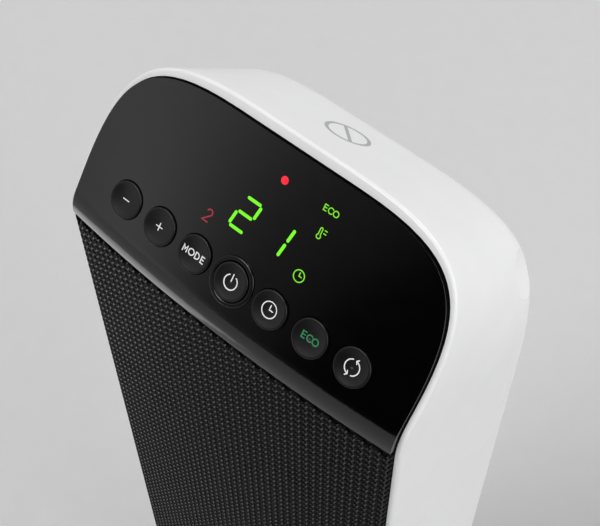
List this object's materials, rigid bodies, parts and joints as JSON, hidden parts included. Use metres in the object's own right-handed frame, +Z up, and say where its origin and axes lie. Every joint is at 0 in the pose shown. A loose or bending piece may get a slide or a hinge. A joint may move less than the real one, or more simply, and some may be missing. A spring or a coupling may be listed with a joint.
{
  "type": "ceramic space heater",
  "caption": "White tower ceramic heater on a round oscillating base, with a leaning glossy control panel, round buttons, a mesh front outlet and a rear filter.",
  "frame": {"origin": "centre of the round base on the floor, on the swivel axis", "axes": "+Z up, -Y out of the front grille, +X to the viewer's right when facing the front"},
  "size_m": [0.22, 0.22, 0.6293],
  "materials": {
    "white_shell": "satin moulded white",
    "grey_badge": "printed mid grey",
    "gloss_black": "glossy piano black",
    "button_black": "satin black",
    "silicone": "translucent grey silicone",
    "circuit_board": "green solder mask",
    "display_black": "smoked display face",
    "black_mesh": "fine black mesh",
    "black_plastic": "textured black",
    "black_base": "satin black",
    "black_rubber": "soft rubber",
    "filter_net": "black filter net",
    "heat_resin": "heat-resistant brown resin",
    "fin_aluminium": "bare fins",
    "ptc_ceramic": "matt ceramic",
    "screw_steel": "zinc plated",
    "shaft_steel": "ground",
    "motor_steel": "galvanised",
    "brass_bush": "sintered bronze",
    "white_acetal": "natural acetal",
    "cast_weight": "rough cast",
    "led_green": "lit green",
    "led_red": "lit red",
    "symbol_white": "printed white",
    "symbol_green": "printed green"
  },
  "bodies": {
    "base": {"base_cover": "black_base", "base_plate": "black_plastic", "base_screws": "screw_steel", "base_weight": "cast_weight", "rubber_feet": "black_rubber", "swivel_washer": "white_acetal", "swing_motor": "motor_steel"},
    "tower": {"body_shell": "white_shell", "rear_cover": "white_shell", "top_badge": "grey_badge", "control_panel": "gloss_black", "power_button_collar": "gloss_black", "keypad_mat": "silicone", "control_board": "circuit_board", "board_screws": "screw_steel", "display_module": "display_black", "front_grille": "black_mesh", "front_frame": "black_plastic", "outlet_guard": "black_plastic", "rear_screws": "screw_steel", "rocker_bezel": "black_plastic", "cord_inlet": "black_rubber", "heater_frame": "heat_resin", "heater_fins": "fin_aluminium", "ptc_stones": "ptc_ceramic", "thermal_cutout": "screw_steel", "fan_motor": "motor_steel", "motor_plate": "motor_steel", "motor_mounts": "black_rubber", "air_duct": "heat_resin", "top_bush": "brass_bush", "power_board": "circuit_board", "tilt_switch": "black_plastic", "heater_relays": "black_plastic", "floor_plate": "black_plastic", "swivel_hub": "white_acetal", "swivel_gear": "white_acetal", "gear_screws": "screw_steel"},
    "pinion": {"drive_pinion": "white_acetal"},
    "impeller": {"fan_impeller": "black_plastic", "fan_shaft": "shaft_steel"},
    "filter": {"filter_cover": "white_shell", "dust_filter": "filter_net"},
    "rocker": {"power_rocker": "black_plastic"},
    "button_minus": {"button_minus": "button_black"},
    "button_plus": {"button_plus": "button_black"},
    "button_mode": {"button_mode": "button_black"},
    "button_power": {"button_power": "button_black"},
    "button_timer": {"button_timer": "button_black"},
    "button_eco": {"button_eco": "button_black"},
    "button_swing": {"button_swing": "button_black"}
  },
  "joints": [
    {"name": "tower_swivel", "type": "hinge", "parent": "base", "child": "tower", "pos_m": [0, 0, 0.034], "axis": [0, 0, 1], "range_deg": [-35, 35]},
    {"name": "pinion_spin", "type": "hinge", "parent": "base", "child": "pinion", "pos_m": [0, -0.05115, 0.027], "axis": [0, 0, 1], "range_deg": [-136, 136]},
    {"name": "fan_spin", "type": "hinge", "parent": "tower", "child": "impeller", "pos_m": [0, 0.008, 0.286], "axis": [0, 0, 1], "continuous": true},
    {"name": "filter_slide", "type": "slide", "parent": "tower", "child": "filter", "axis": [0, 1, 0], "range_m": [0, 0.03]},
    {"name": "rocker_tilt", "type": "hinge", "parent": "tower", "child": "rocker", "pos_m": [-0.038, 0.047, 0.084], "axis": [-1, 0, 0], "range_deg": [0, 18]},
    {"name": "button_minus_press", "type": "slide", "parent": "tower", "child": "button_minus", "axis": [0, 0.766, -0.6428], "range_m": [0, 0.0008], "stiffness_N_per_m": 400, "springref_m": -0.0005},
    {"name": "button_plus_press", "type": "slide", "parent": "tower", "child": "button_plus", "axis": [0, 0.766, -0.6428], "range_m": [0, 0.0008], "stiffness_N_per_m": 400, "springref_m": -0.0005},
    {"name": "button_mode_press", "type": "slide", "parent": "tower", "child": "button_mode", "axis": [0, 0.766, -0.6428], "range_m": [0, 0.0008], "stiffness_N_per_m": 400, "springref_m": -0.0005},
    {"name": "button_power_press", "type": "slide", "parent": "tower", "child": "button_power", "axis": [0, 0.766, -0.6428], "range_m": [0, 0.0008], "stiffness_N_per_m": 400, "springref_m": -0.0005},
    {"name": "button_timer_press", "type": "slide", "parent": "tower", "child": "button_timer", "axis": [0, 0.766, -0.6428], "range_m": [0, 0.0008], "stiffness_N_per_m": 400, "springref_m": -0.0005},
    {"name": "button_eco_press", "type": "slide", "parent": "tower", "child": "button_eco", "axis": [0, 0.766, -0.6428], "range_m": [0, 0.0008], "stiffness_N_per_m": 400, "springref_m": -0.0005},
    {"name": "button_swing_press", "type": "slide", "parent": "tower", "child": "button_swing", "axis": [0, 0.766, -0.6428], "range_m": [0, 0.0008], "stiffness_N_per_m": 400, "springref_m": -0.0005}
  ],
  "couplings": [
    {"joint": "pinion_spin", "follows": "tower_swivel", "ratio": -3.8571}
  ]
}
